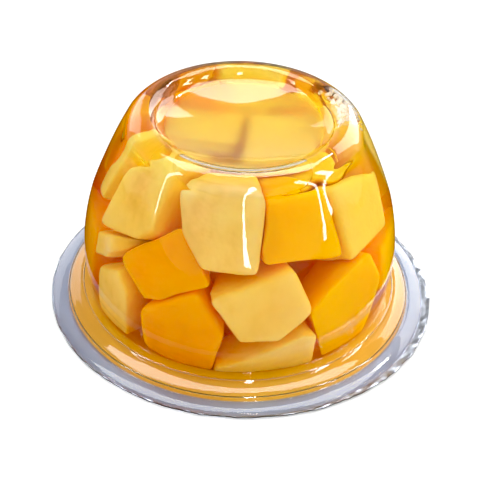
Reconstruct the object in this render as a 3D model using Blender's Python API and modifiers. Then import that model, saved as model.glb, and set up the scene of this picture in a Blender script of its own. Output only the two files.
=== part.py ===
"""A single-serve fruit salad cup, standing upside down on its foil lid.

Three solids: the foil lid, the thin clear plastic cup with its sealing flange, stepped
collar, fluted wall and recessed base, and the syrup with its diced fruit as one filling.
Metres, +Z up, origin on the cup's axis under the foil.
"""

import math

import bmesh
import bpy

# Driving sizes
FLANGE_RADIUS = 0.0475
CUP_WALL = 0.0007
FOIL_RADIUS = 0.0486
FOIL_THICKNESS = 0.0003
GAP = 0.0003
FILLING_CLEARANCE = 0.00035
TURN_STEPS = 60
FOIL_SEGMENTS = 96
FOIL_EDGE = 0.00008

# Heights above the foil's underside
FLANGE_UNDER_Z = FOIL_THICKNESS + GAP
FLANGE_TOP_Z = FLANGE_UNDER_Z + CUP_WALL
LEDGE_Z = FLANGE_TOP_Z + 0.0034
CREST_Z = FLANGE_TOP_Z + 0.0509
RIM_Z = CREST_Z - 0.0020
RECESS_FLOOR_Z = RIM_Z - 0.0045
WALL_TOP_Z = CREST_Z - 0.0034
SYRUP_LEVEL_Z = CREST_Z - 0.0018

# Radii from the axis
COLLAR_RADIUS = 0.0436
LEDGE_RADIUS = 0.0397
WALL_FOOT_RADIUS = 0.0376
WALL_TOP_RADIUS = 0.0286
CREST_RADIUS = 0.0236
RIM_RADIUS = 0.0208

# Handles that bow the wall's curve between its foot and its top
WALL_LOWER_HANDLE = (0.0416, LEDGE_Z + 0.0142)
WALL_UPPER_HANDLE = (0.0359, LEDGE_Z + 0.0311)

# Flutes: flat panels between narrow ridges, which fade out down the wall
FLUTE_COUNT = 10
FLUTE_DEPTH = 0.0016
FLUTE_TOP_Z = CREST_Z - 0.0018
FLUTE_STEP = 0.0008
FLUTE_FADE_Z = CREST_Z - 0.0225
FIRST_RIDGE_ANGLE = math.radians(-90)

MERGE = 0.00001


def bezier(start, handle_a, handle_b, end, steps):
    """Points after the start of a cubic curve, ending on its end point."""
    points = []
    for step in range(1, steps + 1):
        t = step / steps
        s = 1 - t
        weights = (s ** 3, 3 * s * s * t, 3 * s * t * t, t ** 3)
        corners = (start, handle_a, handle_b, end)
        points.append(tuple(sum(w * c[i] for w, c in zip(weights, corners)) for i in (0, 1)))
    return points


def cup_outline():
    """The cup's outer side, from the middle of the recess out and down to the flange's edge."""
    bowl_steps = 4
    points = []
    for step in range(bowl_steps + 1):
        share = step / bowl_steps
        height = RECESS_FLOOR_Z + (RIM_Z - RECESS_FLOOR_Z) * share ** 2
        points.append((RIM_RADIUS * share, height))
    rim, crest = points[-1], (CREST_RADIUS, CREST_Z)
    points += bezier(rim, (0.0214, RIM_Z + 0.0012), (0.0224, CREST_Z), crest, 3)
    wall_top = (WALL_TOP_RADIUS, WALL_TOP_Z)
    points += bezier(crest, (0.0256, CREST_Z), (0.0273, WALL_TOP_Z + 0.0021), wall_top, 4)
    foot = (WALL_FOOT_RADIUS, LEDGE_Z)
    points += bezier(wall_top, WALL_UPPER_HANDLE, WALL_LOWER_HANDLE, foot, 8)
    ledge = (LEDGE_RADIUS, LEDGE_Z)
    points.append(ledge)
    collar_top = (COLLAR_RADIUS, FLANGE_TOP_Z + 0.0012)
    points += bezier(ledge, (0.0412, LEDGE_Z), (COLLAR_RADIUS, FLANGE_TOP_Z + 0.0024), collar_top, 3)
    points.append((COLLAR_RADIUS, FLANGE_TOP_Z))
    points.append((FLANGE_RADIUS, FLANGE_TOP_Z))
    return points


def inward(start, end):
    """The unit vector square to a stretch of the outline, pointing into the cup."""
    along = (end[0] - start[0], end[1] - start[1])
    length = math.hypot(*along)
    return along[1] / length, -along[0] / length


def inset(points, distance):
    """The outline moved inwards by a distance, with its corners mitred."""
    squares = [inward(start, end) for start, end in zip(points, points[1:])]
    moved = []
    for (radius, height), one, two in zip(points, squares[:1] + squares, squares + squares[-1:]):
        mitre = distance / (1 + one[0] * two[0] + one[1] * two[1])
        moved.append((radius + (one[0] + two[0]) * mitre, height + (one[1] + two[1]) * mitre))
    moved[0] = (0.0, moved[0][1])
    return moved


def filling_outline():
    """The filling's section: the cup's inside, level at the syrup's surface, flat on the foil."""
    inside = inset(cup_outline(), CUP_WALL + FILLING_CLEARANCE)
    section = []
    for radius, height in inside:
        if height < FLANGE_UNDER_Z + GAP or radius > COLLAR_RADIUS:
            break
        section.append((radius, min(height, SYRUP_LEVEL_Z)))
    section.append((section[-1][0], FLANGE_UNDER_Z))
    section.append((0.0, FLANGE_UNDER_Z))
    return section


def flute_inset(angle, height):
    """How far a flute's panel lies inside the round wall at an angle and a height."""
    pitch = 2 * math.pi / FLUTE_COUNT
    from_ridge = (angle - FIRST_RIDGE_ANGLE) % pitch
    across = 2 * from_ridge / pitch - 1
    start = min(max((FLUTE_TOP_Z - height) / FLUTE_STEP, 0), 1)
    fade = min(max((height - FLUTE_FADE_Z) / (FLUTE_TOP_Z - FLUTE_FADE_Z), 0), 1)
    return FLUTE_DEPTH * start * fade * (1 - across ** 2)


def material(name, colour, roughness, metallic=0.0, alpha=1.0):
    """A Principled material for one piece."""
    result = bpy.data.materials.new(name)
    result.use_nodes = True
    shader = result.node_tree.nodes["Principled BSDF"]
    shader.inputs["Base Color"].default_value = (*colour, 1.0)
    shader.inputs["Roughness"].default_value = roughness
    shader.inputs["Metallic"].default_value = metallic
    shader.inputs["Alpha"].default_value = alpha
    return result


def turned(name, outline, collection):
    """An outline turned a full circle about +Z with a Screw modifier."""
    mesh = bpy.data.meshes.new(name)
    edges = [(index, index + 1) for index in range(len(outline) - 1)]
    mesh.from_pydata([(radius, 0.0, height) for radius, height in outline], edges, [])
    piece = bpy.data.objects.new(name, mesh)
    collection.objects.link(piece)
    screw = piece.modifiers.new("turn", "SCREW")
    screw.steps = TURN_STEPS
    screw.render_steps = TURN_STEPS
    screw.use_merge_vertices = True
    screw.merge_threshold = MERGE
    screw.use_smooth_shade = True
    return piece


def flute(piece):
    """Makes the turned mesh real and presses the flutes into its wall."""
    graph = bpy.context.evaluated_depsgraph_get()
    mesh = bpy.data.meshes.new_from_object(piece.evaluated_get(graph))
    piece.modifiers.clear()
    piece.data = mesh
    for vertex in mesh.vertices:
        x, y, z = vertex.co
        radius = math.hypot(x, y)
        if radius > CREST_RADIUS:
            share = 1 - flute_inset(math.atan2(y, x), z) / radius
            vertex.co = (x * share, y * share, z)
    mesh.set_sharp_from_angle(angle=math.radians(35))


def make_cup(collection):
    """The clear thermoformed cup, mouth down, as a thin shell."""
    cup = turned("cup", cup_outline(), collection)
    flute(cup)
    shell = cup.modifiers.new("wall", "SOLIDIFY")
    shell.thickness = CUP_WALL
    shell.offset = -1.0
    shell.use_even_offset = True
    cup.data.materials.append(material("clear_plastic", (0.93, 0.93, 0.90), 0.06, alpha=0.35))
    return cup


def make_filling(collection):
    """The syrup and the diced fruit that it holds, as one solid."""
    filling = turned("filling", filling_outline(), collection)
    flute(filling)
    filling.data.materials.append(material("fruit_in_syrup", (0.90, 0.48, 0.06), 0.25))
    return filling


def make_foil_lid(collection):
    """The flat foil disc that is sealed under the flange."""
    mesh = bpy.data.meshes.new("foil_lid")
    shape = bmesh.new()
    bmesh.ops.create_cone(
        shape,
        cap_ends=True,
        segments=FOIL_SEGMENTS,
        radius1=FOIL_RADIUS,
        radius2=FOIL_RADIUS,
        depth=FOIL_THICKNESS,
    )
    bmesh.ops.translate(shape, verts=shape.verts, vec=(0, 0, FOIL_THICKNESS / 2))
    shape.to_mesh(mesh)
    shape.free()
    lid = bpy.data.objects.new("foil_lid", mesh)
    collection.objects.link(lid)
    edge = lid.modifiers.new("edge", "BEVEL")
    edge.width = FOIL_EDGE
    edge.segments = 1
    mesh.materials.append(material("foil", (0.62, 0.64, 0.67), 0.32, metallic=1.0))
    return lid


def main():
    for thing in list(bpy.data.objects):
        bpy.data.objects.remove(thing, do_unlink=True)
    collection = bpy.data.collections.new("fruit_salad_cup")
    bpy.context.scene.collection.children.link(collection)
    make_foil_lid(collection)
    make_cup(collection)
    make_filling(collection)


main()
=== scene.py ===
"""Fruit salad cup: a clear fluted cup of diced pear and peach in juice, upside down on its foil lid.

Laid out as an add-on and run as a script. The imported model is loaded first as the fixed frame,
then one operator makes each piece around it.
"""

import math
import random

import bmesh
import bpy
from bpy.props import FloatProperty, FloatVectorProperty, IntProperty, PointerProperty
from mathutils import Matrix, Vector, noise


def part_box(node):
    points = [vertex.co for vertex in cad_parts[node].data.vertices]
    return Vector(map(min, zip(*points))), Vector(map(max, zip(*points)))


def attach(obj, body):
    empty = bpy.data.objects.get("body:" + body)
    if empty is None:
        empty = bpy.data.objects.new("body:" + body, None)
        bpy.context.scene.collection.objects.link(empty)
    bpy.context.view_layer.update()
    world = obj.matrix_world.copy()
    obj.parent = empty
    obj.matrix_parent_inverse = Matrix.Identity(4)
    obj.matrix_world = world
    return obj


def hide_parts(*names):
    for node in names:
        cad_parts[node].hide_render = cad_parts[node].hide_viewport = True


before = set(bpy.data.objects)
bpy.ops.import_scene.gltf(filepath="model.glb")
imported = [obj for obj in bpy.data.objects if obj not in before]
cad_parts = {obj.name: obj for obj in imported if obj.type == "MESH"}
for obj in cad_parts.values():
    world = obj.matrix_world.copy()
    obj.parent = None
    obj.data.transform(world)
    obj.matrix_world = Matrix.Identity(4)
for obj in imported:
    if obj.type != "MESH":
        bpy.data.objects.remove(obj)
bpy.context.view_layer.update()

bl_info = {
    "name": "Fruit salad cup",
    "version": (1, 0, 0),
    "blender": (4, 5, 0),
    "location": "View3D > Sidebar > Fruit cup",
    "description": "Builds a clear cup of diced fruit in juice around its packed model",
    "category": "Object",
}

CUP_LOW, CUP_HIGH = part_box("cup")
FOIL_LOW, FOIL_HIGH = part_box("foil_lid")
BODY = "root"
MM = 0.001

# Points nearer to each other than this are one point.
MERGE = 0.000004


# Sizes and colours


def a_length(name, description, default):
    """A length that can be set, in metres."""
    return FloatProperty(name=name, description=description, default=default, unit="LENGTH")


def an_angle(name, description, degrees):
    """An angle that can be set, with its default in degrees."""
    default = math.radians(degrees)
    return FloatProperty(name=name, description=description, default=default, subtype="ANGLE")


def a_number(name, description, default, lowest=0, highest=1000):
    """A plain number that can be set."""
    ends = {"min": lowest, "max": highest}
    return FloatProperty(name=name, description=description, default=default, **ends)


def a_count(name, description, default, lowest=0):
    """A whole number that can be set."""
    return IntProperty(name=name, description=description, default=default, min=lowest)


def a_colour(name, description, default):
    """A colour that can be set."""
    kind = {"size": 3, "subtype": "COLOR", "min": 0, "max": 1}
    return FloatVectorProperty(name=name, description=description, default=default, **kind)


def a_group(name, description, kind):
    """A group of settings."""
    return PointerProperty(name=name, description=description, type=kind)


class CupSizes(bpy.types.PropertyGroup):
    """The clear cup's section and its flutes."""

    crest: a_length("Crest height", "Top of the rounded ring round the recess", CUP_HIGH.z)
    flange_radius: a_length("Flange radius", "Outer radius of the sealing flange", CUP_HIGH.x)
    flange_under: a_length("Flange underside", "Height of the flange's underside", CUP_LOW.z)
    wall: a_length("Wall", "Thickness of the clear plastic", 0.0007)
    ledge_height: a_length("Ledge height", "Height of the ledge above the flange", 0.0034)
    collar_radius: a_length("Collar radius", "Radius of the stepped collar", 0.0436)
    ledge_radius: a_length("Ledge radius", "Radius where the ledge rolls over to the collar", 0.0397)
    foot_radius: a_length("Foot radius", "Radius of the wall where it meets the ledge", 0.0376)
    shoulder_radius: a_length("Shoulder radius", "Radius at the top of the wall", 0.0286)
    shoulder_drop: a_length("Shoulder drop", "How far the top of the wall lies below the crest", 0.0034)
    crest_radius: a_length("Crest radius", "Radius of the ring's highest line", 0.0236)
    rim_radius: a_length("Rim radius", "Radius of the recess at its rim", 0.0208)
    rim_drop: a_length("Rim drop", "How far the recess's rim lies below the crest", 0.0020)
    dish_depth: a_length("Dish depth", "Depth of the recess below its rim", 0.0045)
    recess_haze: a_number("Recess haze", "Roughness of the recess's cloudy underside", 0.58, 0, 1)
    fillet: a_length("Fillet", "Rounding of the corners at the ledge and the flange", 0.0006)
    steps: a_count("Steps", "Divisions round the cup", 320, 60)
    flutes: a_count("Flutes", "Number of flat panels round the shoulder", 10, 3)
    flute_depth: a_length("Flute depth", "How far a panel's middle lies inside the round wall", 0.0016)
    flute_top: a_length("Flute top", "How far the panels' step lies below the crest", 0.0020)
    flute_step: a_length("Flute step", "Height over which a panel's step cuts in", 0.0031)
    flute_fade: a_length("Flute fade", "How far below the crest the panels run out", 0.0225)
    ridge_softness: a_number("Ridge softness", "Rounding of a ridge, as a share of a panel", 0.20, 0.01, 0.5)
    first_ridge: an_angle("First ridge", "Angle of the first ridge round the axis", -90)


class SyrupSizes(bpy.types.PropertyGroup):
    """How the syrup fills the cup, and the air caught under the ring."""

    reach: a_length("Reach into wall", "How far the syrup reaches into the wall", 0.0002)
    pocket_middle: an_angle("Pocket middle", "Angle of the air pocket's middle", -90)
    pocket_spread: an_angle("Pocket spread", "Angle from the pocket's middle to its end", 39)
    pocket_depth: a_length("Pocket depth", "Depth of the air pocket below the crest", 0.0047)
    foam_middle: an_angle("Foam middle", "Angle of the foam's middle", 14)
    foam_spread: an_angle("Foam spread", "Angle from the foam's middle to its end", 24)
    foam_depth: a_length("Foam depth", "Depth of the foam below the crest", 0.0020)
    foam_count: a_count("Foam bubbles", "Number of bubbles in the foam", 170, 1)
    foam_bubble: a_length("Foam bubble", "Radius of a middling bubble", 0.00034)
    foam_seed: a_count("Foam seed", "Seed for the bubbles' places", 5)


class FruitSizes(bpy.types.PropertyGroup):
    """The diced fruit."""

    die: a_length("Die", "Side of a middling die", 0.0150)
    spacing: a_length("Spacing", "Radius that a settling die keeps for itself", 0.0074)
    hidden: a_count("Settled dice", "Number of dice behind the ones that show", 26)
    seed: a_count("Seed", "Seed for the settled dice", 11)
    clearance: a_length("Clearance", "Syrup between the wall and a die's nearest corner", 0.0012)
    gap: a_length("Gap", "Juice between two dice that lie against each other", 0.0002)
    softness: a_count("Softness", "How much the knife-cut edges are softened", 7)
    unevenness: a_length("Unevenness", "How far the cut faces wander", 0.0009)


class FoilSizes(bpy.types.PropertyGroup):
    """The foil lid under the flange."""

    overhang: a_length("Overhang", "Least reach of the foil past the flange", 0.0004)
    tab_overhang: a_length("Tab overhang", "Further reach on the side cut wide", 0.0018)
    tab_angle: an_angle("Tab angle", "Angle of the side that was cut wide", -18)
    crinkle: a_length("Crinkle", "Height of the crinkles in the edge", 0.00030)
    steps: a_count("Steps", "Divisions round the edge", 480, 60)


class Finishes(bpy.types.PropertyGroup):
    """Colours of the pieces."""

    plastic: a_colour("Plastic", "Tint of the clear plastic", (0.98, 0.985, 0.98))
    juice: a_colour("Juice", "Colour that the juice lets through", (0.9955, 0.932, 0.067))
    juice_strength: a_number("Juice strength", "How strongly the juice colours", 120)
    pear: a_colour("Pear", "Colour of the pear's flesh", (0.95, 0.76, 0.50))
    peach: a_colour("Peach", "Colour of the peach's flesh", (0.99, 0.48, 0.010))
    # The colour that the dice blend to towards the side of the cup where X is higher.
    pale_peach: a_colour("Pale peach", "Colour of the paler peach's flesh", (0.99, 0.62, 0.012))
    # Painted dark reflection: the bare foil past the flange is given a dark colour for the darkness it
    # reflects.
    foil: a_colour("Foil", "Colour of the bare foil past the flange", (0.22, 0.235, 0.26))
    # Partly painted reflection: the foil under the flange is real metal, and its blue tint is painted
    # reflection.
    seal: a_colour("Seal", "Colour of the foil under the flange", (0.51, 0.595, 0.775))
    lacquer: a_colour("Lacquer", "Colour of the foil's lacquered inner side", (0.88, 0.58, 0.13))
    floor: a_colour("Floor", "Colour of the floor", (0.90, 0.90, 0.90))


class StageSizes(bpy.types.PropertyGroup):
    """Camera and lights."""

    aim_height: a_length("Aim height", "Height of the point that the camera looks at", 0.0147)
    distance: a_length("Distance", "Camera to the point that it looks at", 0.2963)
    elevation: an_angle("Elevation", "How far the camera looks down", 37.6)
    roll: an_angle("Roll", "How far the camera leans", 2.42)
    lens: a_number("Lens", "Focal length in millimetres", 87.8, 1)
    overhead: a_number("Overhead light", "Power of the large overhead softbox", 1.5)
    window: a_number("Window light", "Power of the window behind and to the right", 1.6)
    gloss: a_number("Gloss", "Brightness of the panels that show as reflections", 1)
    surround: a_number("Surround", "Brightness of the studio's walls", 0.82)
    black: a_number("Black level", "Level that the picture takes as black", 0.02, 0, 0.2)
    floor_radius: a_length("Floor radius", "Radius of the floor", 3.0)


class FruitCup(bpy.types.PropertyGroup):
    """Everything that can be set on the fruit cup."""

    cup: a_group("Cup", "The clear cup's sizes", CupSizes)
    syrup: a_group("Syrup", "The syrup's sizes", SyrupSizes)
    fruit: a_group("Fruit", "The dice's sizes", FruitSizes)
    foil: a_group("Foil", "The foil lid's sizes", FoilSizes)
    finish: a_group("Finishes", "The pieces' colours", Finishes)
    stage: a_group("Stage", "Camera and lights", StageSizes)


# Dice that show at the wall: angle in degrees, height above the flange, corners of the face
# against the wall (across, up), depth behind it and distance kept from the wall, all in
# millimetres.

PEARS_AT_WALL = (
    (-98, 37, ((-10, 9), (10, 10), (10, -9), (-3, -9), (-8, -1)), 15, 0),
    (-82, 22, ((-13, 6), (4, 12), (9, 8), (14, -4), (6, -11), (-3, -11)), 14, 0),
    (-78, 6, ((-9, 4), (3, 8), (13, 5), (13, -6), (-11, -6)), 13, 0),
    (-143, 37, ((-11, -11), (-9, 5), (1, 12), (9, 12), (10, 2), (3, -7)), 14, 1),
    (-23, 34, ((-7, 10), (11, 4), (9, -10), (-9, -9)), 15, 3),
    (-146, 12, ((-5, 4), (3, 8), (7, 3), (6, -10), (-6, -10)), 12, 2),
)

PEARS_BEHIND = (
    (88, 33, ((-9, -7), (-8, 9), (8, 8), (9, -9)), 15, 0),
    (55, 14, ((-9, -7), (-8, 8), (9, 7), (7, -9)), 14, 0),
    (20, 34, ((-8, -9), (-9, 9), (8, 9), (9, -8)), 15, 1),
    (178, 38, ((-8, -9), (-9, 7), (8, 9), (9, -8)), 14, 2),
)

PEACHES_AT_WALL = (
    (-111, 13, ((-12, 0), (4, 11), (12, 2), (11, -13), (-2, -13), (-11, -10)), 14, 1.5),
    (-122, 28, ((-15, 1), (-3, 9), (8, 12), (16, 4), (13, -8), (-2, -12), (-12, -6)), 13, 2),
    (-56, 34, ((-13, 11), (12, 9), (13, -9), (-1, -14), (-14, -11)), 15, 2),
    (-49, 14, ((-15, 1), (9, 12), (14, 2), (9, -12), (-11, -13)), 14, 1),
    (-5, 17, ((-9, -8), (-8, 8), (9, 8), (8, -9)), 15, 3),
    (150, 24, ((-8, -8), (-9, 7), (8, 9), (9, -7)), 15, 1),
    (120, 12, ((-9, -8), (-7, 9), (9, 8), (8, -7)), 15, 1),
    (122, 36, ((-9, -8), (-8, 8), (9, 8), (8, -9)), 14, 1),
    (-178, 14, ((-9, -8), (-8, 8), (9, 8), (8, -9)), 14, 3),
)

# Dice that show through the recess: centre of the upper face, its corners, its depth and its
# distance below the recess, in millimetres.

PEARS_UNDER_DISH = (
    ((-11, 7), ((-11, -8), (10.5, -7), (11.5, 9), (-10, 9)), 13, 5.5),
    ((9, 0), ((-10, -13), (10, -10), (10, 14), (-8, 15)), 13, 6.0),
    ((-12, -8), ((-9, -6), (10, -5), (10, 7), (-8, 7)), 12, 7.0),
)

PEACHES_UNDER_DISH = (
    ((4, 22), ((-12, -7), (11, -7), (10, 6), (-10, 6)), 13, 4.5),
    ((20, 3), ((-4, -12), (6, -10), (6, 12), (-5, 13)), 13, 5.0),
)


# Outlines


def curve(start, handle_a, handle_b, end, steps):
    """Points after the start of a cubic curve, ending on its end point."""
    points = []
    for step in range(1, steps + 1):
        t = step / steps
        s = 1 - t
        weights = (s**3, 3 * s * s * t, 3 * s * t * t, t**3)
        corners = (start, handle_a, handle_b, end)
        points.append(tuple(sum(w * c[i] for w, c in zip(weights, corners)) for i in (0, 1)))
    return points


def beside(point, right, up):
    """A point moved to the right and up."""
    return point[0] + right, point[1] + up


def cup_outline(cup):
    """The cup's outer side, from the middle of the recess out and down to the flange's edge.

    Each curve's handles are set beside its ends, or by radius and height, in metres.
    """
    flange_top = cup.flange_under + cup.wall
    ledge_z = flange_top + cup.ledge_height
    rim_z = cup.crest - cup.rim_drop
    dish_steps = 12
    points = [(0.0, rim_z - cup.dish_depth)]
    for step in range(1, dish_steps + 1):
        share = step / dish_steps
        points.append((cup.rim_radius * share, rim_z - cup.dish_depth * (1 - share**2)))
    rim = points[-1]
    crest = (cup.crest_radius, cup.crest)
    lip = beside(rim, 0.0006, 0.0012)
    points += curve(rim, lip, beside(crest, -0.0012, 0), crest, steps=10)
    shoulder = (cup.shoulder_radius, cup.crest - cup.shoulder_drop)
    over = beside(shoulder, -0.0013, 0.0021)
    points += curve(crest, beside(crest, 0.0020, 0), over, shoulder, steps=40)
    corner = (cup.foot_radius + 0.0001, ledge_z)
    foot = beside(corner, 0, cup.fillet)
    upper = (0.0359, ledge_z + 0.0311)
    lower = (0.0416, ledge_z + 0.0142)
    points += curve(shoulder, upper, lower, foot, steps=40)
    points += curve(foot, corner, corner, beside(corner, cup.fillet, 0), steps=4)
    ledge = (cup.ledge_radius - cup.fillet, ledge_z)
    points.append(ledge)
    roll = (cup.ledge_radius, ledge_z)
    brow = beside(roll, 0.0005, -0.0006)
    points += curve(ledge, roll, beside(roll, 0.0002, 0), brow, steps=8)
    collar = (cup.collar_radius, flange_top + 0.0010)
    upper = (0.0414, ledge_z - 0.0016)
    lower = (0.0432, flange_top + 0.0019)
    points += curve(brow, upper, lower, collar, steps=10)
    turn = (cup.collar_radius, flange_top)
    points.append(beside(turn, 0, cup.fillet))
    points += curve(points[-1], turn, turn, beside(turn, cup.fillet, 0), steps=4)
    points.append((cup.flange_radius, flange_top))
    return points


def inward(start, end):
    """The unit vector square to a stretch of the outline, pointing into the cup."""
    along = (end[0] - start[0], end[1] - start[1])
    length = math.hypot(*along)
    return along[1] / length, -along[0] / length


def inset(points, distance):
    """The outline moved inwards by a distance, with its corners mitred."""
    squares = [inward(start, end) for start, end in zip(points, points[1:])]
    moved = []
    for (radius, height), one, two in zip(points, squares[:1] + squares, squares + squares[-1:]):
        mitre = distance / (1 + one[0] * two[0] + one[1] * two[1])
        moved.append((radius + (one[0] + two[0]) * mitre, height + (one[1] + two[1]) * mitre))
    moved[0] = (0.0, moved[0][1])
    return moved


def cup_section(cup):
    """The whole section of the thin cup: outside, round the flange's edge, and back inside."""
    outside = cup_outline(cup)
    inside = inset(outside, cup.wall)
    edge = cup.flange_radius
    top = cup.flange_under + cup.wall
    ease = cup.wall * 0.3
    outside[-1] = (edge - ease, top)
    rounded = [(edge, top - ease), (edge, cup.flange_under + ease)]
    inside[-1] = (edge - ease, cup.flange_under)
    return outside + rounded + inside[::-1]


def syrup_section(cup, syrup):
    """The syrup's section: just inside the wall's inner face, flat on the foil."""
    section = []
    for radius, height in inset(cup_outline(cup), cup.wall - syrup.reach):
        if height < cup.flange_under + cup.wall or radius > cup.collar_radius:
            break
        section.append((radius, height))
    into_foil = FOIL_HIGH.z - 0.0001
    section.append((section[-1][0], into_foil))
    section.append((0.0, into_foil))
    return section


# Node trees


class Output:
    """A node's output. Plain arithmetic on it makes Math nodes."""

    def __init__(self, tree, socket):
        self.tree = tree
        self.socket = socket

    def __add__(self, other):
        return maths("ADD", self, other)

    def __sub__(self, other):
        return maths("SUBTRACT", self, other)

    def __rsub__(self, other):
        return maths("SUBTRACT", other, self)

    def __mul__(self, other):
        return maths("MULTIPLY", self, other)

    def __truediv__(self, other):
        return maths("DIVIDE", self, other)


def feed(target, value):
    """Sets a socket to a plain value, or links it to an output."""
    if isinstance(value, Output):
        value.tree.links.new(value.socket, target)
    else:
        target.default_value = value


def node(tree, kind, inputs=None, output=0, **settings):
    """One output of a new node, made with its settings and inputs."""
    made = tree.nodes.new(kind)
    for name, value in settings.items():
        setattr(made, name, value)
    for name, value in (inputs or {}).items():
        feed(made.inputs[name], value)
    return Output(tree, made.outputs[output])


def maths(operation, *values, clamp=False):
    """The result of a Math node, in the tree of the outputs among its values."""
    tree = [value.tree for value in values if isinstance(value, Output)][0]
    inputs = dict(enumerate(values))
    return node(tree, "ShaderNodeMath", inputs, operation=operation, use_clamp=clamp)


def parts(vector):
    """The X, Y and Z of a vector."""
    made = vector.tree.nodes.new("ShaderNodeSeparateXYZ")
    feed(made.inputs["Vector"], vector)
    return [Output(vector.tree, socket) for socket in made.outputs]


def round_axis(angle, radius, height):
    """The place at an angle and a radius round the axis, and at a height."""
    x = radius * maths("COSINE", angle)
    y = radius * maths("SINE", angle)
    return node(angle.tree, "ShaderNodeCombineXYZ", {"X": x, "Y": y, "Z": height})


def add_tree(piece, name, build, values):
    """Adds a geometry tree to a piece, with a named input for each value that it needs.

    It ends in smooth shading, Realize Instances and Set Material.
    """
    tree = bpy.data.node_groups.new(name, "GeometryNodeTree")
    tree.is_modifier = True
    tree.interface.new_socket(name="Geometry", in_out="OUTPUT", socket_type="NodeSocketGeometry")
    tree.interface.new_socket(name="Geometry", in_out="INPUT", socket_type="NodeSocketGeometry")
    kinds = {"int": "NodeSocketInt", "float": "NodeSocketFloat", "Material": "NodeSocketMaterial"}
    modifier = piece.modifiers.new(name, "NODES")
    modifier.node_group = tree
    for label, value in values.items():
        kind = kinds[type(value).__name__]
        made = tree.interface.new_socket(name=label, in_out="INPUT", socket_type=kind)
        modifier[made.identifier] = value
    group = tree.nodes.new("NodeGroupInput")
    given = {socket.name: Output(tree, socket) for socket in group.outputs}
    smooth = node(tree, "GeometryNodeSetShadeSmooth", {"Geometry": build(tree, given)})
    real = node(tree, "GeometryNodeRealizeInstances", {"Geometry": smooth})
    inputs = {"Geometry": real, "Material": given["Material"]}
    coloured = node(tree, "GeometryNodeSetMaterial", inputs)
    feed(tree.nodes.new("NodeGroupOutput").inputs[0], coloured)


def fluted(tree, given):
    """Turns an outline round the axis and presses flat panels into its shoulder."""
    outline = given["Geometry"]
    steps = given["Steps"]
    flutes = given["Flutes"]
    rows = node(tree, "GeometryNodeAttributeDomainSize", {"Geometry": outline}, "Point Count")
    size = {"Size X": 1.0, "Size Y": 1.0, "Vertices X": steps + 1.0, "Vertices Y": rows}
    grid = node(tree, "GeometryNodeMeshGrid", size)
    index = node(tree, "GeometryNodeInputIndex")
    row = maths("MODULO", index, rows)
    column = maths("ROUND", (index - row) / rows)
    position = node(tree, "GeometryNodeInputPosition")
    picked = {"Geometry": outline, "Value": position, "Index": row}
    profile = node(tree, "GeometryNodeSampleIndex", picked, data_type="FLOAT_VECTOR")
    radius, _, height = parts(profile)
    # The columns crowd together at the ridges, where the wall turns.
    crowding = 0.6
    plain = column / steps * math.tau
    turned = plain - maths("SINE", plain * flutes) * crowding / flutes
    across = maths("ABSOLUTE", maths("FRACT", turned * flutes / math.tau) * 2.0 - 1.0)
    near = 1.0 - across
    soft = given["Ridge Softness"]
    eased = maths("SQRT", near * near + soft * soft) - soft
    panel = eased * (2.0 - eased)
    start = (given["Flute Top"] - height) / given["Flute Step"]
    start = node(tree, "ShaderNodeMapRange", {"Value": start}, interpolation_type="SMOOTHSTEP")
    run = given["Flute Top"] - given["Flute Fade"]
    fade = maths("DIVIDE", height - given["Flute Fade"], run, clamp=True)
    outer = maths("GREATER_THAN", radius, given["Crest Radius"])
    pressed = start * fade * (panel * outer)
    reach = radius - pressed * given["Flute Depth"]
    spot = round_axis(turned + given["First Ridge"], reach, height)
    shaped = node(tree, "GeometryNodeSetPosition", {"Geometry": grid, "Position": spot})
    joined = {"Geometry": shaped, "Distance": given["Merge"]}
    return node(tree, "GeometryNodeMergeByDistance", joined)


def air_pocket(tree, given):
    """Presses the top of the syrup down to a level where air is caught over it."""
    x, y, z = parts(node(tree, "GeometryNodeInputPosition"))
    away = (maths("ARCTAN2", y, x) - given["Middle"]) / given["Spread"]
    rounded = maths("SUBTRACT", 1.0, away * away, clamp=True)
    level = given["Crest"] - rounded * (2.0 - rounded) * given["Depth"]
    lowered = maths("MINIMUM", z, level)
    spot = node(tree, "ShaderNodeCombineXYZ", {"X": x, "Y": y, "Z": lowered})
    moved = {"Geometry": given["Geometry"], "Position": spot}
    return node(tree, "GeometryNodeSetPosition", moved)


def cut_fruit(tree, given):
    """Softens the edges of cut dice and lets their faces wander a little."""
    fine = node(tree, "GeometryNodeSubdivideMesh", {"Mesh": given["Geometry"], "Level": 4})
    position = node(tree, "GeometryNodeInputPosition")
    near = {"Value": position, "Iterations": given["Softness"]}
    blurred = node(tree, "GeometryNodeBlurAttribute", near, data_type="FLOAT_VECTOR")
    softened = node(tree, "GeometryNodeSetPosition", {"Geometry": fine, "Position": blurred})
    pattern = {"Vector": position, "Scale": 110.0, "Detail": 1.5}
    lumps = node(tree, "ShaderNodeTexNoise", pattern, "Color")
    less_half = {0: lumps, 1: (0.5, 0.5, 0.5)}
    centred = node(tree, "ShaderNodeVectorMath", less_half, operation="SUBTRACT")
    scaled = {0: centred, "Scale": given["Unevenness"]}
    offset = node(tree, "ShaderNodeVectorMath", scaled, operation="SCALE")
    moved = {"Geometry": softened, "Offset": offset}
    return node(tree, "GeometryNodeSetPosition", moved)


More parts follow.
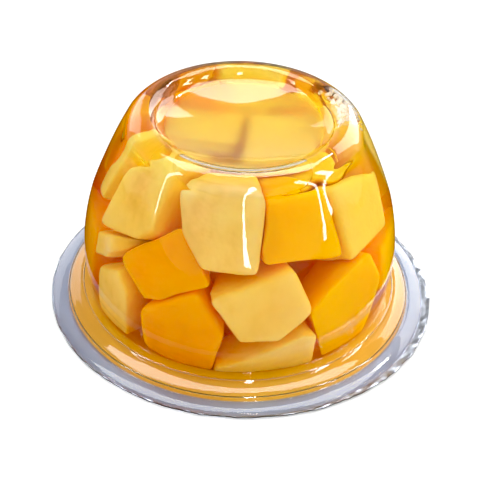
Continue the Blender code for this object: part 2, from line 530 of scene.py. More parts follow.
def bubbles(tree, given):
    """Small bubbles scattered along the top of the ring."""
    crest_radius = given["Crest Radius"]

    def scattered(lowest, highest, salt):
        """A random number for each bubble, from its own seed."""
        inputs = {2: lowest, 3: highest, "Seed": given["Seed"] + salt}
        return node(tree, "FunctionNodeRandomValue", inputs, 1, data_type="FLOAT")

    swing = scattered(-1.0, 1.0, salt=1.0) * scattered(0.2, 1.0, salt=7.0)
    angle = swing * given["Spread"] + given["Middle"]
    radius = crest_radius + scattered(-0.0012, 0.0036, salt=2.0)
    out = radius - crest_radius
    # The ring falls away from its crest with the square of the distance.
    fall = 95.0
    height = given["Crest"] - out * out * fall - scattered(0.0, 0.0006, salt=3.0)
    spot = round_axis(angle, radius, height)
    cloud = node(tree, "GeometryNodePoints", {"Count": given["Count"], "Position": spot})
    ball = node(tree, "GeometryNodeMeshIcoSphere", {"Radius": 1.0, "Subdivisions": 3})
    size = given["Bubble"] * scattered(0.45, 1.6, salt=4.0)
    copies = {"Points": cloud, "Instance": ball, "Scale": size}
    return node(tree, "GeometryNodeInstanceOnPoints", copies)


# Making pieces


def new_piece(name, mesh):
    """An object for a mesh, in the scene."""
    mesh.name = name
    piece = bpy.data.objects.new(name, mesh)
    bpy.context.scene.collection.objects.link(piece)
    return piece


def mesh_of(name, shape):
    """A mesh from a finished shape."""
    mesh = bpy.data.meshes.new(name)
    shape.to_mesh(mesh)
    shape.free()
    return mesh


def make_real(piece):
    """Replaces a piece's mesh by the evaluated one and removes its modifiers."""
    graph = bpy.context.evaluated_depsgraph_get()
    mesh = bpy.data.meshes.new_from_object(piece.evaluated_get(graph))
    raw = piece.data
    piece.modifiers.clear()
    piece.data = mesh
    bpy.data.meshes.remove(raw)
    mesh.name = piece.name
    shape = bmesh.new()
    shape.from_mesh(mesh)
    bmesh.ops.remove_doubles(shape, verts=shape.verts, dist=MERGE)
    bmesh.ops.recalc_face_normals(shape, faces=shape.faces)
    shape.to_mesh(mesh)
    shape.free()
    if len(mesh.polygons) == 0:
        raise RuntimeError(piece.name + " came out empty")


def turned_piece(name, section, cup, material):
    """A section turned round the axis and fluted."""
    mesh = bpy.data.meshes.new(name)
    mesh.from_pydata([(radius, 0.0, height) for radius, height in section], [], [])
    piece = new_piece(name, mesh)
    values = {
        "Steps": cup.steps,
        "Flutes": cup.flutes,
        "First Ridge": cup.first_ridge,
        "Flute Depth": cup.flute_depth,
        "Flute Top": cup.crest - cup.flute_top,
        "Flute Step": cup.flute_step,
        "Flute Fade": cup.crest - cup.flute_fade,
        "Ridge Softness": cup.ridge_softness,
        "Crest Radius": cup.crest_radius,
        "Merge": MERGE,
        "Material": material,
    }
    add_tree(piece, "turned and fluted", fluted, values)
    return piece


def place(piece, slot, *replaced):
    """Rides a finished piece on the body and hides what it stands for. The slot is not used."""
    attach(piece, BODY)
    if replaced:
        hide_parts(*replaced)


# Dice


class Room:
    """The room inside the cup, below the recess and above the foil."""

    def __init__(self, cup, fruit):
        inside = inset(cup_outline(cup), cup.wall)
        top = max(range(len(inside)), key=lambda index: inside[index][1])
        self.cup = cup
        self.clearance = fruit.clearance
        self.run = inside[top:]
        above_foil = 0.0005
        self.floor = FOIL_HIGH.z + above_foil

    def radius(self, height):
        """The inside radius at a height, a little short of the middle of a flute."""
        radius = 0.0
        for (r_one, z_one), (r_two, z_two) in zip(self.run, self.run[1:]):
            if z_two <= height <= z_one and z_one > z_two:
                radius = r_one + (r_two - r_one) * (z_one - height) / (z_one - z_two)
                break
        cup = self.cup
        fade = (height - cup.crest + cup.flute_fade) / (cup.flute_fade - cup.flute_top)
        pressed = 0.6
        return radius - cup.flute_depth * min(max(fade, 0), 1) * pressed

    def roof(self, radius):
        """The height of the underside of the recess, or of the ring outside it."""
        cup = self.cup
        under_ring = 0.0020
        if radius > cup.rim_radius:
            return cup.crest - cup.wall - under_ring
        share = radius / cup.rim_radius
        return cup.crest - cup.rim_drop - cup.dish_depth * (1 - share**2) - cup.wall

    def axes(self, azimuth, height):
        """A place inside the wall with its outward, across and up directions."""
        step = 0.002
        slope = math.atan2(self.radius(height - step) - self.radius(height + step), 2 * step)
        turn = math.radians(azimuth)
        flat = Vector((math.cos(turn), math.sin(turn), 0))
        out = flat * math.cos(slope) + Vector((0, 0, math.sin(slope)))
        across = Vector((-math.sin(turn), math.cos(turn), 0))
        middle = flat * self.radius(height) + Vector((0, 0, height))
        return middle, out, across, out.cross(across)

    def seated(self, corners):
        """A die's corners, moved together until its edges clear the cup on every side."""
        moved = [corner.copy() for corner in corners]
        most_moves = 12
        for _ in range(most_moves):
            pairs = ((one, two) for index, one in enumerate(moved) for two in moved[index:])
            spots = [(one + two) / 2 for one, two in pairs]
            sink = max(spot.z - self.roof(spot.xy.length) + self.clearance for spot in spots)
            rise = max(self.floor - spot.z for spot in spots)
            worst = max(spots, key=lambda spot: spot.xy.length - self.radius(spot.z))
            over = worst.xy.length - self.radius(worst.z) + self.clearance
            if max(sink, rise, over) <= 0:
                break
            push = Vector((0, 0, max(rise, 0) - max(sink, 0)))
            if over > 0:
                push -= Vector((worst.x, worst.y, 0)).normalized() * over
            moved = [corner + push for corner in moved]
        return moved


def block(front, middle, across, up, out, depth):
    """The corners of a die: a face against the wall and a smaller one behind it."""
    narrower = 0.62
    lower = 0.88
    near = [middle + across * (u * MM) + up * (v * MM) for u, v in front]
    behind = middle - out * (depth * MM)
    far = [behind + across * (u * MM * narrower) + up * (v * MM * lower) for u, v in front]
    return near + far


def dice_at_wall(room, table):
    """The corners of each die that shows at the wall."""
    dice = []
    for azimuth, height, front, depth, back in table:
        level = room.cup.flange_under + room.cup.wall + height * MM
        middle, out, across, up = room.axes(azimuth, level)
        corners = room.seated(block(front, middle, across, up, out, depth))
        dice.append([corner - out * (back * MM) for corner in corners])
    return dice


def dice_under_dish(room, table):
    """The corners of each die that shows through the recess."""
    dice = []
    for (x, y), front, depth, below in table:
        spots = [Vector(((x + u) * MM, (y + v) * MM, 0)) for u, v in front]
        low = min(room.roof(spot.length) for spot in spots) - below * MM
        middle = Vector((x * MM, y * MM, low))
        axes = Vector((1, 0, 0)), Vector((0, 1, 0)), Vector((0, 0, 1))
        dice.append(room.seated(block(front, middle, *axes, depth)))
    return dice


def settle(room, fruit, fixed):
    """Centres for the dice that fill the cup, pushed apart until they rest."""
    cup = room.cup
    chance = random.Random(fruit.seed)
    floor = FOIL_HIGH.z + fruit.spacing * 0.8
    roof = cup.crest - cup.rim_drop - cup.dish_depth - cup.wall - fruit.spacing * 1.6
    widest = 0.028
    free = []
    for _ in range(fruit.hidden):
        turn = chance.uniform(0, math.tau)
        reach = widest * math.sqrt(chance.random())
        height = chance.uniform(floor, roof)
        free.append(Vector((reach * math.cos(turn), reach * math.sin(turn), height)))
    gap = fruit.spacing * 2
    rounds = 260
    eased = 0.4
    for _ in range(rounds):
        for index, spot in enumerate(free):
            push = Vector()
            for other in fixed + free[:index] + free[index + 1 :]:
                apart = spot - other
                if 0 < apart.length < gap:
                    push += apart.normalized() * (gap - apart.length) * eased
            spot = spot + push
            spot.z = min(max(spot.z, floor), roof)
            limit = room.radius(spot.z) - fruit.spacing
            flat = math.hypot(spot.x, spot.y)
            if flat > limit:
                spot.x *= limit / flat
                spot.y *= limit / flat
            free[index] = spot
    return free


def settled_dice(room, fruit, shown):
    """The corners of the dice that fill the cup behind the ones that show."""
    fixed = [sum(corners, Vector()) / len(corners) for corners in shown]
    chance = random.Random(fruit.seed + 1)
    dice = []
    for centre in settle(room, fruit, fixed):
        turn = Matrix.Rotation(chance.uniform(0, math.tau), 3, "Z")
        turn = turn @ Matrix.Rotation(chance.uniform(0, math.pi), 3, "X")
        half = [fruit.die * chance.uniform(0.46, 0.56) for _ in range(3)]
        lean = chance.uniform(0.8, 1.0)
        corners = []
        for x in (-1, 1):
            for y in (-1, 1):
                for z in (-1, 1):
                    narrow = lean if z < 0 else 1.0
                    local = Vector((x * half[0] * narrow, y * half[1] * narrow, z * half[2]))
                    corners.append(centre + turn @ local)
        dice.append(room.seated(corners))
    return dice


def hull_of(corners):
    """The convex shape round some corners, with its flat stretches joined into faces."""
    shape = bmesh.new()
    verts = [shape.verts.new(corner) for corner in corners]
    hull = bmesh.ops.convex_hull(shape, input=verts)
    loose = [item for item in hull["geom_interior"] if isinstance(item, bmesh.types.BMVert)]
    bmesh.ops.delete(shape, geom=loose, context="VERTS")
    edges = list(shape.edges)
    bmesh.ops.dissolve_limit(shape, angle_limit=math.radians(4), verts=shape.verts, edges=edges)
    return shape


class Die:
    """A convex die: its corners and the directions that its faces look in."""

    def __init__(self, corners):
        shape = hull_of(corners)
        self.corners = [vert.co.copy() for vert in shape.verts]
        self.faces = [face.normal.copy() for face in shape.faces]
        shape.free()

    def span(self, axis):
        """How far the die reaches along an axis, from its lowest corner to its highest."""
        reach = [corner.dot(axis) for corner in self.corners]
        return min(reach), max(reach)

    def cut(self, axis, limit):
        """What is left of the die below a limit along an axis, or None."""
        kept = [corner for corner in self.corners if corner.dot(axis) <= limit]
        lost = [corner for corner in self.corners if corner.dot(axis) > limit]
        if len(kept) == 0:
            return None
        if len(lost) == 0:
            return self
        made = []
        for one in kept:
            for two in lost:
                share = (limit - one.dot(axis)) / (two - one).dot(axis)
                made.append(one.lerp(two, share))
        return Die(kept + made)


def kept_apart(dice, gap):
    """The dice, each one cut back where it would meet one before it."""
    dice = [Die(corners) for corners in dice]
    for second in range(len(dice)):
        for first in range(second):
            one = dice[first]
            two = dice[second]
            if one is None or two is None:
                continue
            axes = one.faces + [-face for face in two.faces]
            depths = [one.span(axis)[1] - two.span(axis)[0] for axis in axes]
            least = min(depths)
            if least > -gap:
                axis = axes[depths.index(least)]
                dice[second] = two.cut(-axis, -(one.span(axis)[1] + gap))
    return dice


def all_dice(room, fruit):
    """The dice of each kind: at the wall, under the recess and settled behind."""
    pears = dice_at_wall(room, PEARS_AT_WALL)
    pears += dice_under_dish(room, PEARS_UNDER_DISH)
    pears += dice_at_wall(room, PEARS_BEHIND)
    peaches = dice_at_wall(room, PEACHES_AT_WALL) + dice_under_dish(room, PEACHES_UNDER_DISH)
    shown = pears + peaches
    settled = settled_dice(room, fruit, shown)
    kinds = ["pear"] * len(pears) + ["peach"] * len(peaches)
    # Every third die behind them is a peach.
    kinds += ["pear" if index % 3 else "peach" for index in range(len(settled))]
    dice = {"pear": [], "peach": []}
    for die, kind in zip(kept_apart(shown + settled, fruit.gap), kinds):
        if die is not None:
            dice[kind].append(die)
    return dice


def dice_piece(kind, settings, material):
    """One piece holding all the dice of a kind, with soft, uneven cut faces."""
    name = kind + "_dice"
    fruit = settings.fruit
    dice = all_dice(Room(settings.cup, fruit), fruit)[kind]
    shape = bmesh.new()
    mesh = bpy.data.meshes.new(name)
    for die in dice:
        solid = hull_of(die.corners)
        solid.to_mesh(mesh)
        solid.free()
        shape.from_mesh(mesh)
    shape.to_mesh(mesh)
    shape.free()
    piece = new_piece(name, mesh)
    values = {"Softness": fruit.softness, "Unevenness": fruit.unevenness, "Material": material}
    add_tree(piece, "cut fruit", cut_fruit, values)
    make_real(piece)
    return piece


# The foil's shape


def foil_reach(foil, turn):
    """How far the foil reaches past the flange at an angle: wide on one side, and ragged."""
    wide = max(math.cos(turn - foil.tab_angle), 0) ** 3
    raggedness = 0.00025
    ragged = noise.noise(Vector((math.cos(turn), math.sin(turn), 0)) * 9) * raggedness
    return foil.overhang + foil.tab_overhang * wide + ragged


def foil_lift(foil, turn, share, reach):
    """How far the crinkled foil stands up at a share of its way past the flange."""
    around = Vector((math.cos(turn), math.sin(turn), share * 0.05))
    coarse = noise.noise(around * 26)
    fine = noise.noise(around * 60)
    wider = min(reach / MM, 1.5)
    slope = 0.10
    return (coarse + 0.6 * fine) * foil.crinkle * share * wider + reach * share * slope


def foil_shape(foil, cup):
    """The closed foil: rings of points on both sides, from near the middle out to the edge."""
    under_flange = (0.001, 0.30, 0.60, 0.80, 0.90, 0.96, 1.0)
    past_flange = (0.12, 0.3, 0.5, 0.7, 0.85, 1.0)
    rings = [(share, 0.0) for share in under_flange] + [(1.0, share) for share in past_flange]
    level = cup.flange_under + 0.00005
    thickness = 0.00028
    shape = bmesh.new()
    top = []
    under = []
    for inner, outer in rings:
        top.append([])
        under.append([])
        for step in range(foil.steps):
            turn = math.tau * step / foil.steps
            reach = foil_reach(foil, turn)
            radius = cup.flange_radius * inner + reach * outer
            height = level + foil_lift(foil, turn, outer, reach)
            spot = Vector((radius * math.cos(turn), radius * math.sin(turn), height))
            top[-1].append(shape.verts.new(spot))
            low = max(FOIL_LOW.z, spot.z - thickness) if outer > 0 else FOIL_LOW.z
            under[-1].append(shape.verts.new((spot.x, spot.y, low)))
    for rows, flip in ((top, False), (under, True), ((top[-1], under[-1]), False)):
        for inner, outer in zip(rows, rows[1:]):
            for step in range(foil.steps):
                after = (step + 1) % foil.steps
                face = [inner[step], outer[step], outer[after], inner[after]]
                shape.faces.new(face[::-1] if flip else face)
    bmesh.ops.holes_fill(shape, edges=shape.edges, sides=0)
    bmesh.ops.recalc_face_normals(shape, faces=shape.faces)
    for face in shape.faces:
        face.smooth = True
    return shape


# Materials


def new_material(name):
    """A node material with only its output node."""
    material = bpy.data.materials.new(name)
    material.use_nodes = True
    tree = material.node_tree
    tree.nodes.clear()
    return material, tree, tree.nodes.new("ShaderNodeOutputMaterial")


def object_place(tree):
    """The place that is being coloured, on the piece's own axes."""
    return node(tree, "ShaderNodeTexCoord", output="Object")


def radius_and_height(tree):
    """The distance from the axis and the height of the place that is being coloured."""
    x, y, z = parts(object_place(tree))
    flat = node(tree, "ShaderNodeCombineXYZ", {"X": x, "Y": y})
    return node(tree, "ShaderNodeVectorMath", {0: flat}, "Value", operation="LENGTH"), z


def mottle(tree, scale, detail, stretch=(1, 1, 1)):
    """A noise pattern on object coordinates."""
    mapped = node(tree, "ShaderNodeMapping", {"Vector": object_place(tree), "Scale": stretch})
    return node(tree, "ShaderNodeTexNoise", {"Vector": mapped, "Scale": scale, "Detail": detail})


def between(pattern, lowest, highest):
    """A pattern brought between two values."""
    ends = {"Value": pattern, "To Min": lowest, "To Max": highest}
    return node(pattern.tree, "ShaderNodeMapRange", ends)


def shades(factor, *stops):
    """A colour ramp over a pattern."""
    ramp = node(factor.tree, "ShaderNodeValToRGB", {"Fac": factor})
    band = ramp.socket.node.color_ramp
    while len(band.elements) < len(stops):
        band.elements.new(0.5)
    for element, (position, colour) in zip(band.elements, stops):
        element.position = position
        element.color = (*colour, 1.0)
    return ramp


def blended(blend, factor, first, second):
    """Two colours blended by a factor."""
    inputs = {"Factor": factor, "A": first, "B": second}
    settings = {"data_type": "RGBA", "blend_type": blend}
    return node(first.tree, "ShaderNodeMix", inputs, "Result", **settings)


def tone(colour, factor, warmth=1.0):
    """A colour made lighter or darker, and warmer where its blue is cut."""
    return [min(part * scale, 1) for part, scale in zip(colour, (factor, factor, factor * warmth))]


def bump(height, distance, strength=1.0):
    """A bump from a pattern."""
    inputs = {"Height": height, "Distance": distance, "Strength": strength}
    return node(height.tree, "ShaderNodeBump", inputs)


def finish_surface(tree, out, inputs, clear=False):
    """The shader. A clear one lets light pass straight through to what stands behind it."""
    shader = node(tree, "ShaderNodeBsdfPrincipled", inputs)
    if clear:
        shadow = node(tree, "ShaderNodeLightPath", output="Is Shadow Ray")
        straight = node(tree, "ShaderNodeBsdfTransparent")
        shader = node(tree, "ShaderNodeMixShader", {0: shadow, 1: shader, 2: straight})
    feed(out.inputs["Surface"], shader)


def hazy_recess(tree, cup):
    """One on the underside of the recess's floor, which is cloudy, and zero elsewhere."""
    radius, height = radius_and_height(tree)
    rim = cup.rim_radius
    clear_from = rim * 0.97
    cloudy_to = rim * 0.85
    ends = {"Value": radius, "From Min": clear_from, "From Max": cloudy_to}
    within = node(tree, "ShaderNodeMapRange", ends)
    share = radius / rim
    mid_wall = cup.crest - cup.rim_drop - cup.dish_depth - cup.wall * 0.5
    under = maths("LESS_THAN", height, share * share * cup.dish_depth + mid_wall)
    lowest = cup.crest - 0.01
    return within * (under * maths("GREATER_THAN", height, lowest))


def clear_plastic(finish, cup):
    """Thin clear plastic with the slight waviness of a formed sheet."""
    material, tree, out = new_material("clear_plastic")
    slow = mottle(tree, scale=55.0, detail=1.0)
    fine = mottle(tree, scale=420.0, detail=2.0)
    inputs = {
        "Base Color": shades(slow, (0.3, finish.plastic), (0.7, tone(finish.plastic, 1.02))),
        "Roughness": hazy_recess(tree, cup) * cup.recess_haze,
        "IOR": 1.46,
        "Specular Tint": (0.5, 0.5, 0.5, 1.0),
        "Transmission Weight": 1.0,
        "Normal": bump(fine * 0.06 + slow, distance=0.00022),
    }
    finish_surface(tree, out, inputs, clear=True)
    return material


def juice(finish):
    """Clear amber juice that deepens with its thickness."""
    material, tree, out = new_material("juice")
    slow = mottle(tree, scale=70.0, detail=2.0)
    inputs = {
        "Base Color": shades(slow, (0.3, (1, 0.985, 0.95)), (0.7, (1, 1, 1))),
        "Roughness": 0.0,
        "IOR": 1.36,
        "Specular Tint": (0.0, 0.0, 0.0, 1.0),
        "Transmission Weight": 1.0,
        "Normal": bump(slow, distance=0.0002),
    }
    finish_surface(tree, out, inputs, clear=True)
    depth = {"Color": (*finish.juice, 1), "Density": finish.juice_strength}
    feed(out.inputs["Volume"], node(tree, "ShaderNodeVolumeAbsorption", depth))
    return material


def fruit_flesh(name, colour, paler, fibre, grain, warmth):
    """Cooked fruit: mottled flesh with fibres, grains and soft light in its edges.

    The dice towards one side of the cup, where X is higher, are coloured paler.
    """
    material, tree, out = new_material(name)
    cloud = mottle(tree, scale=160.0, detail=3.0)
    strand = mottle(tree, scale=300.0, detail=2.0, stretch=fibre)
    cells = node(tree, "ShaderNodeTexVoronoi", {"Vector": object_place(tree), "Scale": grain})
    mixed = strand * 0.45 + cloud * 0.55
    low = (0.34, tone(colour, 0.90, warmth))
    high = (0.66, tone(colour, 1.05, 1.1))
    # The colour blends to the paler one towards the side where X is higher.
    side = parts(object_place(tree))[0]
    reach = {"Value": side, "From Min": -0.006, "From Max": 0.022}
    share = node(tree, "ShaderNodeMapRange", reach, interpolation_type="SMOOTHSTEP")
    flesh = shades(mixed, low, (0.5, colour), high)
    inputs = {
        "Base Color": blended("MIX", share, flesh, (*paler, 1.0)),
        "Roughness": between(cloud, 0.45, 0.65),
        "Specular IOR Level": 0.02,
        "Subsurface Weight": 1.0,
        "Subsurface Radius": (0.0050, 0.0042, 0.0020),
        "Subsurface Scale": 1.0,
        "Normal": bump(cells * 0.25 + mixed, distance=0.0005, strength=0.6),
    }
    finish_surface(tree, out, inputs)
    return material


def foil_metal(finish):
    """Heat-sealed lidding foil with a faint rolled grain and small dents.

    It is lacquered inside the sealed ring, satin where the flange is sealed to it, and bare past that.
    Its blue tint under the flange is partly painted reflection, and its dark colour past the flange is
    painted dark reflection.
    """
    material, tree, out = new_material("lidding_foil")
    cloud = mottle(tree, scale=45.0, detail=2.0)
    grain = mottle(tree, scale=900.0, detail=3.0, stretch=(1, 0.08, 1))
    dents = mottle(tree, scale=260.0, detail=2.0)
    shade = shades(cloud, (0.35, (0.90, 0.90, 0.92)), (0.65, (1, 1, 1)))
    share = radius_and_height(tree)[0] / FOIL_HIGH.x
    # The band under the flange takes a blue tint that is partly painted reflection. The band past the flange
    # takes a dark colour that is painted dark reflection.
    sealed = ((0.888, finish.seal), (0.976, finish.seal))
    banded = shades(share, (0.872, finish.lacquer), *sealed, (0.984, finish.foil))
    satin_from = maths("GREATER_THAN", share, 0.88)
    bare_from = maths("GREATER_THAN", share, 0.98)
    inputs = {
        "Base Color": blended("MULTIPLY", 1.0, banded, shade),
        "Metallic": satin_from * 0.5 + bare_from * 0.5,
        "Roughness": between(grain, 0.26, 0.42),
        "Normal": bump(grain * 0.15 + dents, distance=0.0001, strength=0.5),
    }
    finish_surface(tree, out, inputs)
    return material


def foam_film(finish):
    """The thin bright film of foam bubbles."""
    material, tree, out = new_material("foam_film")
    cloud = mottle(tree, scale=800.0, detail=1.0)
    inputs = {
        "Base Color": shades(cloud, (0.3, (1.0, 0.95, 0.82)), (0.7, (1, 1, 1))),
        "Roughness": 0.12,
        "IOR": 1.36,
        "Transmission Weight": 0.7,
    }
    finish_surface(tree, out, inputs, clear=True)
    return material


def studio_floor(finish):
    """A plain pale floor, lit a little from below as a light table is."""
    material, tree, out = new_material("studio_floor")
    cloud = mottle(tree, scale=6.0, detail=2.0)
    inputs = {
        "Base Color": shades(cloud, (0.4, tone(finish.floor, 0.99)), (0.6, finish.floor)),
        "Roughness": 0.9,
        "Specular IOR Level": 0.1,
        "Emission Color": (1.0, 1.0, 1.0, 1.0),
        "Emission Strength": 0.42,
    }
    finish_surface(tree, out, inputs)
    return material


# Lights and camera

# Panels that only show as reflections: name, azimuth, elevation, distance, size and brightness.

PANELS = (
    ("front_strip", 10, 24, 0.60, (0.06, 0.50), 50),
    ("right_strip", 58, 22, 0.60, (0.07, 0.48), 44),
    ("far_right_strip", 84, 22, 0.60, (0.07, 0.46), 40),
    ("back_window", 142, 25, 0.80, (0.46, 0.50), 9),
    ("left_strip", -66, 24, 0.60, (0.05, 0.44), 30),
    ("back_left_window", -145, 20, 0.80, (0.42, 0.36), 4),
    ("glare", 140, 48, 0.70, (0.06, 0.06), 140),
)

PANEL_AIM = Vector((0, 0, 0.04))

# The panel overhead: where it hangs, what it faces, its size, brightness and turn in degrees.
CEILING = ((-0.02, 0.20, 0.79), (-0.02, 0.19, 0.0), (1.0, 0.44), 15.0, 9)


def facing(spot, aim, turn):
    """The turn that faces something at a spot towards an aim, then leans it by an angle."""
    look = (Vector(aim) - Vector(spot)).to_track_quat("-Z", "Y").to_matrix()
    return look @ Matrix.Rotation(turn, 3, "Z")


def add_softbox(name, spot, aim, size, power):
    """A rectangular area light that doesn't show, not even as a reflection."""
    light = bpy.data.lights.new(name, "AREA")
    light.shape = "RECTANGLE"
    light.size = size[0]
    light.size_y = size[1]
    light.energy = power
    lamp = bpy.data.objects.new(name, light)
    lamp.location = spot
    lamp.rotation_euler = facing(spot, aim, 0).to_euler()
    lamp.visible_camera = False
    lamp.visible_glossy = False
    bpy.context.scene.collection.objects.link(lamp)


def add_panel(name, spot, aim, size, brightness, turn=0):
    """A glowing panel that only shows as a reflection and lights nothing."""
    shape = bmesh.new()
    bmesh.ops.create_grid(shape, x_segments=1, y_segments=1, size=0.5)
    bmesh.ops.scale(shape, verts=shape.verts, vec=(*size, 1))
    look = facing(spot, aim, math.radians(turn)).to_4x4()
    bmesh.ops.transform(shape, verts=shape.verts, matrix=Matrix.Translation(spot) @ look)
    panel = new_piece(name, mesh_of(name, shape))
    material, tree, out = new_material(name)
    feed(out.inputs["Surface"], node(tree, "ShaderNodeEmission", {"Strength": brightness}))
    material.cycles.emission_sampling = "NONE"
    panel.data.materials.append(material)
    for ray in ("camera", "diffuse", "transmission", "volume_scatter", "shadow"):
        setattr(panel, "visible_" + ray, False)


def panel_spot(azimuth, elevation, distance):
    """Where a panel hangs: its azimuth runs from the camera's side towards the right."""
    side = math.radians(azimuth)
    lift = math.radians(elevation)
    flat = Vector((math.sin(side), -math.cos(side), 0)) * math.cos(lift)
    return PANEL_AIM + (flat + Vector((0, 0, math.sin(lift)))) * distance


def add_floor(finish, radius):
    """The round floor, which reflections don't show."""
    shape = bmesh.new()
    bmesh.ops.create_circle(shape, cap_ends=True, segments=64, radius=radius)
    bmesh.ops.translate(shape, verts=shape.verts, vec=(0, 0, -0.00005))
    floor = new_piece("floor", mesh_of("floor", shape))
    floor.data.materials.append(studio_floor(finish))
    floor.visible_glossy = False


def studio_world(brightness):
    """Pale walls that darken upwards, with nothing below the floor."""
    darkening = 0.45
    world = bpy.data.worlds.new("studio")
    world.use_nodes = True
    tree = world.node_tree
    surround = tree.nodes["Background"]
    surround.inputs["Color"].default_value = (1.0, 1.0, 1.0, 1.0)
    height = parts(node(tree, "ShaderNodeTexCoord", output="Generated"))[2]
    above = maths("GREATER_THAN", height, 0.0)
    feed(surround.inputs["Strength"], above * (height * (-darkening * brightness) + brightness))
    return world


def add_camera(stage):
    """The camera, looking down at the cup from the front and leaning a little."""
    aim = Vector((0.0001, 0.0, stage.aim_height))
    away = Vector((0, -math.cos(stage.elevation), math.sin(stage.elevation))) * stage.distance
    lens = bpy.data.cameras.new("camera")
    lens.lens = stage.lens
    lens.sensor_width = 36
    lens.clip_start = 0.01
    camera = bpy.data.objects.new("camera", lens)
    camera.location = aim + away
    look = (-away).to_track_quat("-Z", "Y").to_matrix()
    camera.rotation_euler = (look @ Matrix.Rotation(stage.roll, 3, "Z")).to_euler()
    bpy.context.scene.collection.objects.link(camera)
    bpy.context.scene.camera = camera


# Operators


class FRUITCUP_OT_foil_lid(bpy.types.Operator):
    """Makes the foil lid, cut wider on one side and crinkled past the flange"""

    bl_idname = "fruit_cup.foil_lid"
    bl_label = "Foil lid"

    def execute(self, context):
        settings = context.scene.fruit_cup
        mesh = mesh_of("foil", foil_shape(settings.foil, settings.cup))
        piece = new_piece("foil", mesh)
        mesh.set_sharp_from_angle(angle=math.radians(50))
        mesh.materials.append(foil_metal(settings.finish))
        place(piece, "foil", "foil_lid")
        return {"FINISHED"}


class FRUITCUP_OT_cup_wall(bpy.types.Operator):
    """Makes the clear cup with its flange, collar, fluted wall and recess"""

    bl_idname = "fruit_cup.cup_wall"
    bl_label = "Cup wall"

    def execute(self, context):
        settings = context.scene.fruit_cup
        cup = settings.cup
        piece = turned_piece("cup_wall", cup_section(cup), cup, clear_plastic(settings.finish, cup))
        make_real(piece)
        place(piece, "clear_plastic", "cup")
        return {"FINISHED"}


class FRUITCUP_OT_syrup(bpy.types.Operator):
    """Makes the syrup, with the air that is caught under the ring"""

    bl_idname = "fruit_cup.syrup"
    bl_label = "Syrup"

    def execute(self, context):
        settings = context.scene.fruit_cup
        cup = settings.cup
        syrup = settings.syrup
        material = juice(settings.finish)
        piece = turned_piece("syrup", syrup_section(cup, syrup), cup, material)
        for kind in ("pocket", "foam"):
            values = {"Crest": cup.crest, "Material": material}
            for part in ("middle", "spread", "depth"):
                values[part.capitalize()] = getattr(syrup, kind + "_" + part)
            add_tree(piece, "air over the syrup", air_pocket, values)
        make_real(piece)
        place(piece, "fruit_in_syrup", "filling")
        return {"FINISHED"}


class FRUITCUP_OT_pear_dice(bpy.types.Operator):
    """Makes the pear dice, at the wall, under the recess and settled behind"""

    bl_idname = "fruit_cup.pear_dice"
    bl_label = "Pear dice"

    def execute(self, context):
        settings = context.scene.fruit_cup
        pear = settings.finish.pear
        flesh = fruit_flesh("pear_flesh", pear, pear, (1, 1, 0.6), grain=900.0, warmth=0.85)
        place(dice_piece("pear", settings, flesh), "pear")
        return {"FINISHED"}


class FRUITCUP_OT_peach_dice(bpy.types.Operator):
    """Makes the peach dice, at the wall, under the recess and settled behind"""

    bl_idname = "fruit_cup.peach_dice"
    bl_label = "Peach dice"

    def execute(self, context):
        settings = context.scene.fruit_cup
        peach = settings.finish.peach
        paler = settings.finish.pale_peach
        flesh = fruit_flesh("peach_flesh", peach, paler, (1, 0.25, 1), grain=600.0, warmth=0.7)
        place(dice_piece("peach", settings, flesh), "peach")
        return {"FINISHED"}


class FRUITCUP_OT_foam(bpy.types.Operator):
    """Makes the patch of foam under the ring"""

    bl_idname = "fruit_cup.foam"
    bl_label = "Foam"

    def execute(self, context):
        settings = context.scene.fruit_cup
        cup = settings.cup
        syrup = settings.syrup
        piece = new_piece("foam", bpy.data.meshes.new("foam"))
        values = {
            "Count": syrup.foam_count,
            "Seed": syrup.foam_seed,
            "Middle": syrup.foam_middle,
            "Spread": syrup.foam_spread,
            "Crest": cup.crest - cup.wall - syrup.foam_bubble,
            "Crest Radius": cup.crest_radius,
            "Bubble": syrup.foam_bubble,
            "Material": foam_film(settings.finish),
        }
        add_tree(piece, "foam", bubbles, values)
        make_real(piece)
        place(piece, "fruit_in_syrup")
        return {"FINISHED"}


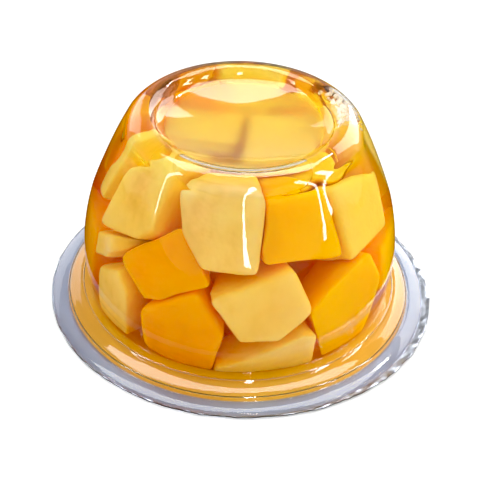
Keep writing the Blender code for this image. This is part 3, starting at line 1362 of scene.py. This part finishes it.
class FRUITCUP_OT_stage(bpy.types.Operator):
    """Makes the floor, the lights and the camera"""

    bl_idname = "fruit_cup.stage"
    bl_label = "Stage"

    def execute(self, context):
        settings = context.scene.fruit_cup
        stage = settings.stage
        scene = context.scene
        add_floor(settings.finish, stage.floor_radius)
        add_softbox("overhead", (0.0, -0.1, 0.75), (0, 0, 0), (0.90, 0.90), stage.overhead)
        add_softbox("window", (0.66, 0.35, 0.33), (0, 0, 0.03), (0.38, 0.5), stage.window)
        for name, azimuth, elevation, distance, size, brightness in PANELS:
            spot = panel_spot(azimuth, elevation, distance)
            add_panel(name, spot, PANEL_AIM, size, brightness * stage.gloss)
        add_panel("ceiling", *CEILING)
        add_camera(stage)
        scene.world = studio_world(stage.surround)
        scene.cycles.max_bounces = 32
        scene.cycles.blur_glossy = 0.0
        scene.cycles.diffuse_bounces = 16
        scene.cycles.transmission_bounces = 24
        scene.cycles.transparent_max_bounces = 24
        scene.view_settings.view_transform = "Standard"
        scene.view_settings.use_curve_mapping = True
        curves = scene.view_settings.curve_mapping
        curves.black_level = (stage.black, stage.black, stage.black)
        curves.update()
        return {"FINISHED"}


OPERATORS = (
    FRUITCUP_OT_foil_lid,
    FRUITCUP_OT_cup_wall,
    FRUITCUP_OT_syrup,
    FRUITCUP_OT_pear_dice,
    FRUITCUP_OT_peach_dice,
    FRUITCUP_OT_foam,
    FRUITCUP_OT_stage,
)


class FRUITCUP_PT_pieces(bpy.types.Panel):
    """Sizes, colours and the pieces that can be made"""

    bl_label = "Fruit salad cup"
    bl_idname = "FRUITCUP_PT_pieces"
    bl_space_type = "VIEW_3D"
    bl_region_type = "UI"
    bl_category = "Fruit cup"

    def draw(self, context):
        layout = self.layout
        settings = context.scene.fruit_cup
        for operator in OPERATORS:
            layout.operator(operator.bl_idname)
        for group in ("cup", "syrup", "fruit", "foil", "finish", "stage"):
            box = layout.box()
            values = getattr(settings, group)
            for name in values.__annotations__:
                box.prop(values, name)


GROUPS = (CupSizes, SyrupSizes, FruitSizes, FoilSizes, Finishes, StageSizes, FruitCup)


def register():
    """Registers the settings, the operators and the panel."""
    for item in GROUPS + OPERATORS + (FRUITCUP_PT_pieces,):
        bpy.utils.register_class(item)
    bpy.types.Scene.fruit_cup = PointerProperty(type=FruitCup)


def unregister():
    """Unregisters the settings, the operators and the panel."""
    del bpy.types.Scene.fruit_cup
    for item in reversed(GROUPS + OPERATORS + (FRUITCUP_PT_pieces,)):
        bpy.utils.unregister_class(item)


def plain(box):
    """A pair of corners as plain lists of numbers."""
    return [[float(value) for value in corner] for corner in box]


def main():
    """Makes every piece in order."""
    register()
    bpy.ops.fruit_cup.foil_lid()
    bpy.ops.fruit_cup.cup_wall()
    bpy.ops.fruit_cup.syrup()
    bpy.ops.fruit_cup.pear_dice()
    bpy.ops.fruit_cup.peach_dice()
    bpy.ops.fruit_cup.foam()
    bpy.ops.fruit_cup.stage()


if __name__ == "__main__":
    main()
